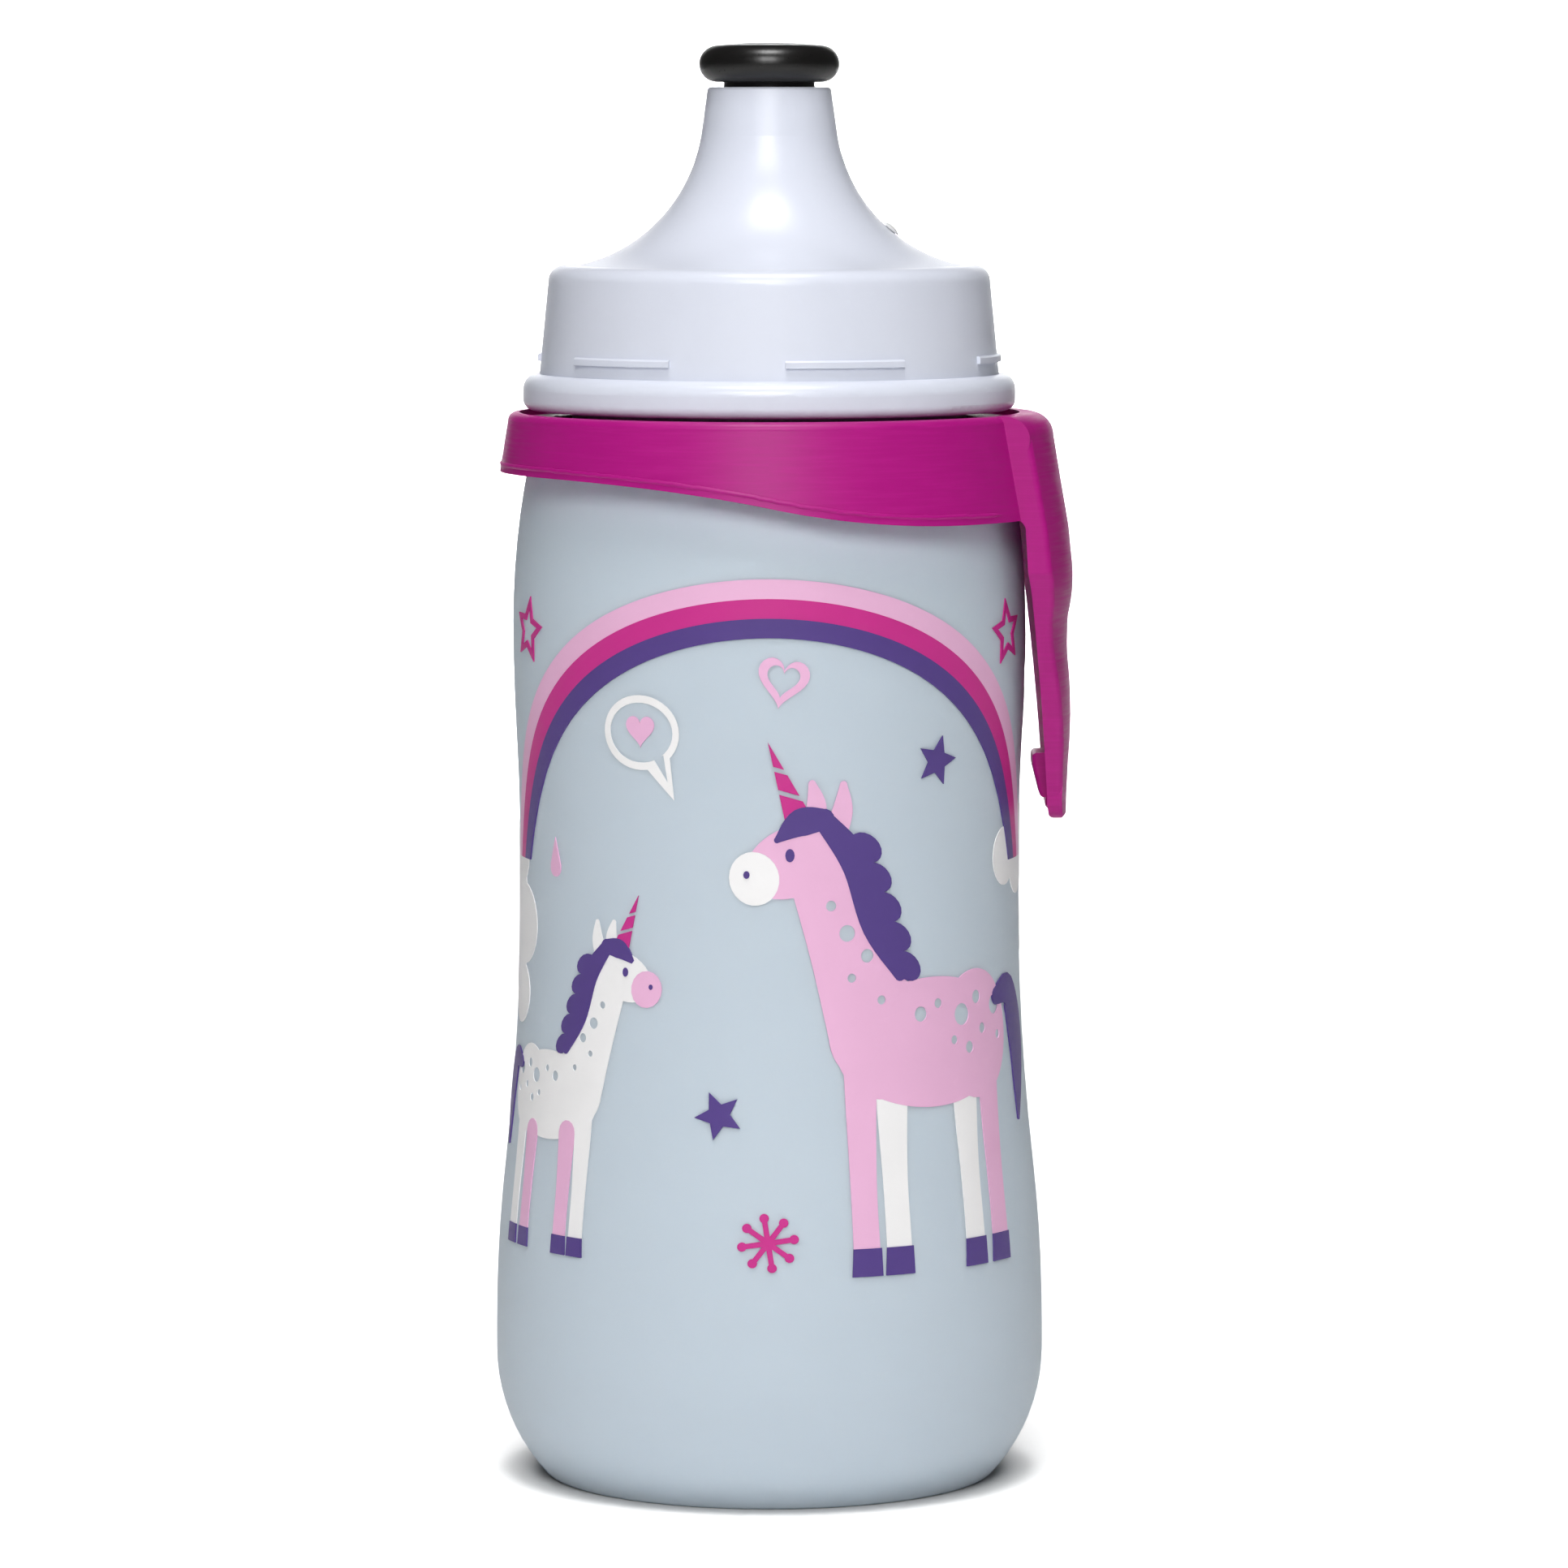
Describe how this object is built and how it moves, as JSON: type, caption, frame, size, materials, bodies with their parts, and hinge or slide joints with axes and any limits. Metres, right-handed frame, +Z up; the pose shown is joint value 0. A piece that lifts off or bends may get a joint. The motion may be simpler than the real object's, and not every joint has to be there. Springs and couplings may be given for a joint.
{
  "type": "kids water bottle",
  "caption": "Child's drinking bottle: waisted printed body, screw lid with flared spout and push-pull mouthpiece, loose carrying band with a springy belt clip.",
  "frame": {"origin": "centre of the bottle's foot, on the bottle's axis, in the plane that it stands on", "axes": "+Z up along the bottle's axis to the mouthpiece, -Y to the printed front, +X to the carrying clip"},
  "size_m": [0.0711, 0.0676, 0.1762],
  "materials": {
    "bottle_pp": "satin, slightly translucent polypropylene, printed",
    "lid_pp": "semi-gloss moulded polypropylene, cool white",
    "silicone": "frosted silicone",
    "cage_pp": "moulded polypropylene, white",
    "tube_pp": "moulded polypropylene, black",
    "mouthpiece_tpe": "soft elastomer with a low gloss, black",
    "band_pp": "satin moulded polypropylene, magenta"
  },
  "bodies": {
    "bottle": {"bottle": "bottle_pp", "bottle_neck": "bottle_pp"},
    "band": {"carry_band": "band_pp"},
    "clip": {"carry_clip": "band_pp"},
    "seal": {"lid_gasket": "silicone"},
    "lid": {"lid": "lid_pp", "vent_valve": "silicone", "valve_pin": "cage_pp"},
    "spout": {"drinking_tube": "tube_pp", "tube_seal": "silicone", "mouthpiece": "mouthpiece_tpe"}
  },
  "joints": [
    {"name": "band_turn", "type": "hinge", "parent": "bottle", "child": "band", "pos_m": [0, 0, 0.125], "axis": [0, 0, 1], "continuous": true},
    {"name": "clip_flex", "type": "hinge", "parent": "band", "child": "clip", "pos_m": [0.03676, 0, 0.1172], "axis": [0, -1, 0], "range_deg": [0, 8], "stiffness_Nm_per_rad": 1.5},
    {"name": "lid_rise", "type": "slide", "parent": "bottle", "child": "seal", "axis": [0, 0, 1], "range_m": [0, 0.0181]},
    {"name": "lid_turn", "type": "hinge", "parent": "seal", "child": "lid", "pos_m": [0, 0, 0.14], "axis": [0, 0, 1], "range_deg": [0, 1080]},
    {"name": "spout_slide", "type": "slide", "parent": "lid", "child": "spout", "axis": [0, 0, 1], "range_m": [0, 0.005]}
  ],
  "couplings": [
    {"joint": "lid_rise", "follows": "lid_turn", "m_per_rad": 0.00095493}
  ]
}
